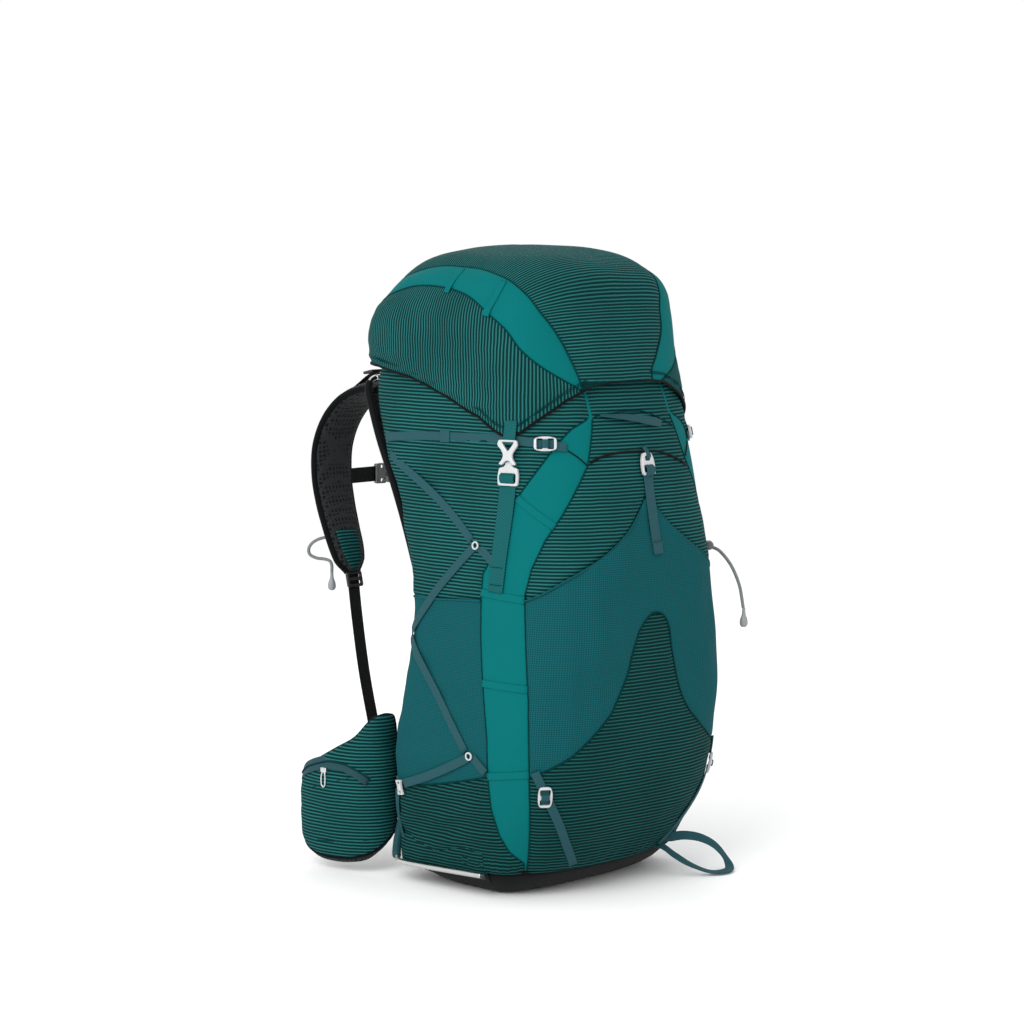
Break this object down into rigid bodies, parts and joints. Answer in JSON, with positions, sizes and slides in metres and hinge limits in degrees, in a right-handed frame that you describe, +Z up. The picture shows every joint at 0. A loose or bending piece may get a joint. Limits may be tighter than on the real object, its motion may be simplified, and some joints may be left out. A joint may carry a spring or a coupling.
{
  "type": "hiking backpack",
  "caption": "Internal-frame hiking backpack with hinged lid, stretch pockets, compression straps, arched mesh back, swinging shoulder straps and hipbelt wings.",
  "frame": {"origin": "on the ground under the bag's centre plane, inside the foot of the base panel", "axes": "+X to the wearer's right, +Y from the bag towards the harness, +Z up"},
  "size_m": [0.358, 0.4365, 0.7106],
  "materials": {
    "striped_fabric": "ribbed two-tone nylon, matt",
    "teal_fabric": "plain woven nylon, soft sheen",
    "lining_fabric": "light coated nylon",
    "stretch_mesh": "knitted stretch mesh, matt",
    "black_fabric": "heavy packcloth",
    "air_mesh": "hexagonal spacer mesh over foam",
    "slate_webbing": "woven polyester webbing",
    "teal_webbing": "twill webbing",
    "black_webbing": "woven polyester webbing",
    "white_buckle": "moulded acetal, silver white",
    "dark_buckle": "moulded acetal",
    "grey_cord": "braided shock cord",
    "dark_cord": "braided cord",
    "grey_plastic": "moulded, satin",
    "frame_alloy": "drawn tube, satin"
  },
  "bodies": {
    "bag": {"front_panel": "striped_fabric", "corner_strip_left": "teal_fabric", "corner_strip_right": "teal_fabric", "side_panel_left": "striped_fabric", "side_panel_right": "striped_fabric", "back_panel": "black_fabric", "base_panel": "black_fabric", "collar": "lining_fabric", "collar_drawcord": "dark_cord", "collar_cord_lock": "dark_buckle", "front_pocket": "stretch_mesh", "side_pocket_left": "stretch_mesh", "side_pocket_right": "stretch_mesh", "frame_rod_left": "frame_alloy", "frame_rod_right": "frame_alloy", "frame_crossbar": "frame_alloy", "back_mesh": "air_mesh", "lumbar_pad": "air_mesh", "yoke": "air_mesh", "compression_strap_left": "slate_webbing", "compression_strap_right": "slate_webbing", "strap_hooks": "white_buckle", "lid_webbings": "teal_webbing", "pad_straps": "slate_webbing", "front_handle": "slate_webbing", "tool_cord": "grey_cord", "tool_cord_lock": "grey_plastic", "tool_cord_pull": "grey_plastic", "lower_webbing_left": "black_webbing", "lower_webbing_right": "black_webbing"},
    "lid": {"lid_shell": "striped_fabric", "lid_floor": "lining_fabric", "lid_buckle_left": "white_buckle", "lid_buckle_right": "white_buckle"},
    "lid_slider": {"lid_zip_slider": "dark_buckle"},
    "buckle_left": {"webbing_buckle_left": "white_buckle"},
    "buckle_right": {"webbing_buckle_right": "white_buckle"},
    "front_hook": {"front_hook": "white_buckle", "front_strap": "slate_webbing"},
    "axe_loop": {"axe_loop": "slate_webbing"},
    "haul_loop": {"haul_loop": "black_webbing"},
    "pad_lock_left": {"pad_adjuster_left": "white_buckle"},
    "pad_lock_right": {"pad_adjuster_right": "white_buckle"},
    "side_lock_left": {"side_adjuster_left": "white_buckle"},
    "side_lock_right": {"side_adjuster_right": "white_buckle"},
    "strap_left": {"shoulder_strap_left": "air_mesh", "load_lifter_left": "black_webbing", "pole_cord": "grey_cord", "pole_cord_pull": "grey_plastic"},
    "strap_right": {"shoulder_strap_right": "air_mesh", "load_lifter_right": "black_webbing"},
    "sternum_left": {"sternum_strap_left": "dark_buckle"},
    "sternum_right": {"sternum_strap_right": "dark_buckle"},
    "sternum_clip": {"sternum_buckle": "dark_buckle"},
    "belt_left": {"hipbelt_left": "striped_fabric", "hip_buckle_left": "dark_buckle"},
    "belt_right": {"hipbelt_right": "striped_fabric", "hip_buckle_right": "dark_buckle"},
    "belt_slider_left": {"hip_zip_slider_left": "frame_alloy"},
    "belt_slider_right": {"hip_zip_slider_right": "frame_alloy"}
  },
  "joints": [
    {"name": "lid_hinge", "type": "hinge", "parent": "bag", "child": "lid", "pos_m": [0, 0.209, 0.578], "axis": [-1, 0, 0], "range_deg": [0, 80]},
    {"name": "lid_zip_travel", "type": "hinge", "parent": "lid", "child": "lid_slider", "pos_m": [-0.01, 0.0234, 0.656], "axis": [0, 0, 1], "range_deg": [0, 22]},
    {"name": "lid_buckle_release_left", "type": "slide", "parent": "bag", "child": "buckle_left", "axis": [-0.1, 0, -0.995], "range_m": [0, 0.02]},
    {"name": "lid_buckle_release_right", "type": "slide", "parent": "bag", "child": "buckle_right", "axis": [0.1, 0, -0.995], "range_m": [0, 0.02]},
    {"name": "front_hook_slide", "type": "slide", "parent": "bag", "child": "front_hook", "axis": [0, -0.1701, -0.9854], "range_m": [0, 0.012]},
    {"name": "axe_loop_swing", "type": "hinge", "parent": "bag", "child": "axe_loop", "pos_m": [0.088, -0.078, 0.034], "axis": [-0.6606, -0.7507, 0], "range_deg": [0, 20]},
    {"name": "haul_loop_swing", "type": "hinge", "parent": "bag", "child": "haul_loop", "pos_m": [0, 0.2145, 0.558], "axis": [1, 0, 0], "range_deg": [0, 60]},
    {"name": "pad_lock_tilt_left", "type": "hinge", "parent": "bag", "child": "pad_lock_left", "pos_m": [-0.1396, -0.0952, 0.1345], "axis": [-0.7883, 0.6153, 0], "range_deg": [0, 40]},
    {"name": "pad_lock_tilt_right", "type": "hinge", "parent": "bag", "child": "pad_lock_right", "pos_m": [0.1396, -0.0952, 0.1345], "axis": [-0.7883, -0.6153, 0], "range_deg": [0, 40]},
    {"name": "side_lock_tilt_left", "type": "hinge", "parent": "bag", "child": "side_lock_left", "pos_m": [-0.1115, -0.0856, 0.5035], "axis": [0, 0, 1], "range_deg": [0, 35]},
    {"name": "side_lock_tilt_right", "type": "hinge", "parent": "bag", "child": "side_lock_right", "pos_m": [0.1115, -0.0856, 0.5035], "axis": [0, 0, -1], "range_deg": [0, 35]},
    {"name": "strap_swing_left", "type": "hinge", "parent": "bag", "child": "strap_left", "pos_m": [0, 0.215, 0.548], "axis": [1, 0, 0], "range_deg": [-6, 30]},
    {"name": "strap_swing_right", "type": "hinge", "parent": "bag", "child": "strap_right", "pos_m": [0, 0.215, 0.548], "axis": [1, 0, 0], "range_deg": [-6, 30]},
    {"name": "sternum_slide_left", "type": "slide", "parent": "strap_left", "child": "sternum_left", "axis": [0, -0.2251, -0.9743], "range_m": [-0.014, 0.014]},
    {"name": "sternum_slide_right", "type": "slide", "parent": "strap_right", "child": "sternum_right", "axis": [0, -0.2251, -0.9743], "range_m": [-0.014, 0.014]},
    {"name": "sternum_release", "type": "slide", "parent": "sternum_right", "child": "sternum_clip", "axis": [1, 0, 0], "range_m": [0, 0.012]},
    {"name": "belt_swing_left", "type": "hinge", "parent": "bag", "child": "belt_left", "pos_m": [-0.119, 0.16, 0.112], "axis": [0, 0, 1], "range_deg": [-15, 25]},
    {"name": "belt_swing_right", "type": "hinge", "parent": "bag", "child": "belt_right", "pos_m": [0.119, 0.16, 0.112], "axis": [0, 0, -1], "range_deg": [-15, 25]},
    {"name": "belt_zip_left", "type": "slide", "parent": "belt_left", "child": "belt_slider_left", "axis": [0, 0.9404, -0.3401], "range_m": [0, 0.02]},
    {"name": "belt_zip_right", "type": "slide", "parent": "belt_right", "child": "belt_slider_right", "axis": [0, 0.9404, -0.3401], "range_m": [0, 0.02]}
  ],
  "couplings": [
    {"joint": "strap_swing_right", "follows": "strap_swing_left", "ratio": 1},
    {"joint": "sternum_slide_right", "follows": "sternum_slide_left", "ratio": 1}
  ]
}
